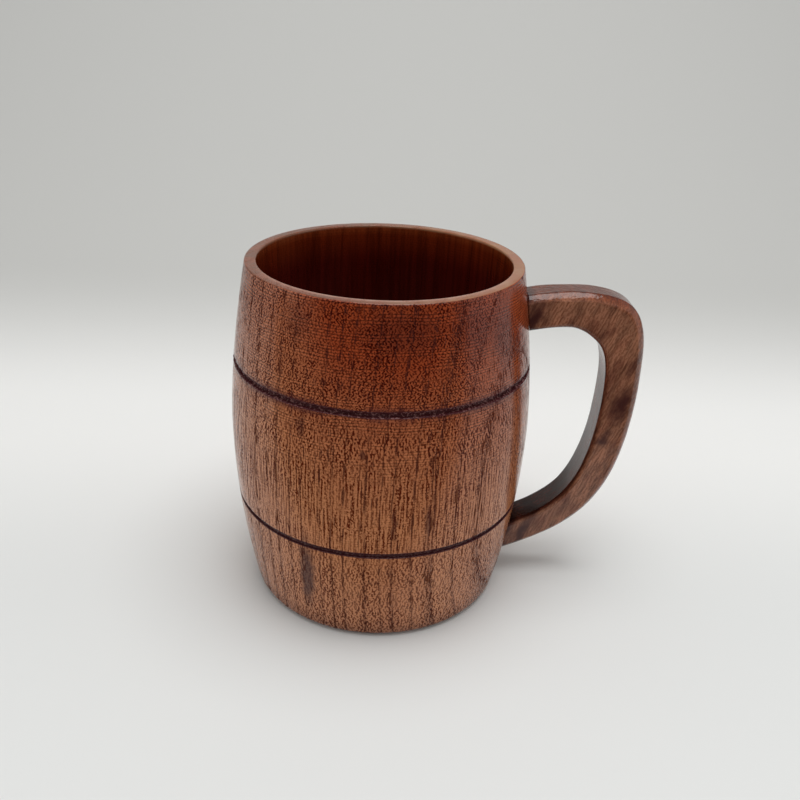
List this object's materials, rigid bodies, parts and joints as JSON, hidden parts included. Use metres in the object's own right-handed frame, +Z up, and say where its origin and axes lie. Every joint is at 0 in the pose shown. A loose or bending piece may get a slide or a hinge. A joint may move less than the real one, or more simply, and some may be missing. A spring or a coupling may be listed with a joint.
{
  "type": "wooden cup",
  "caption": "Barrel-shaped cup turned from lacquered red-brown wood, with dark turned grooves and a sawn side handle, for hot or cold drinks.",
  "frame": {"origin": "centre of the flat base, on the cup's axis", "axes": "+Z up along the cup's axis, +X out through the handle"},
  "size_m": [0.1234, 0.0908, 0.105],
  "materials": {
    "barrel_wood": "red-brown open-pored wood under clear gloss lacquer",
    "handle_wood": "brown open-pored wood under clear gloss lacquer",
    "dowel_wood": "bare pale wood"
  },
  "bodies": {
    "root": {"cup_body": "barrel_wood", "handle": "handle_wood", "upper_dowel": "dowel_wood", "lower_dowel": "dowel_wood"}
  },
  "joints": []
}
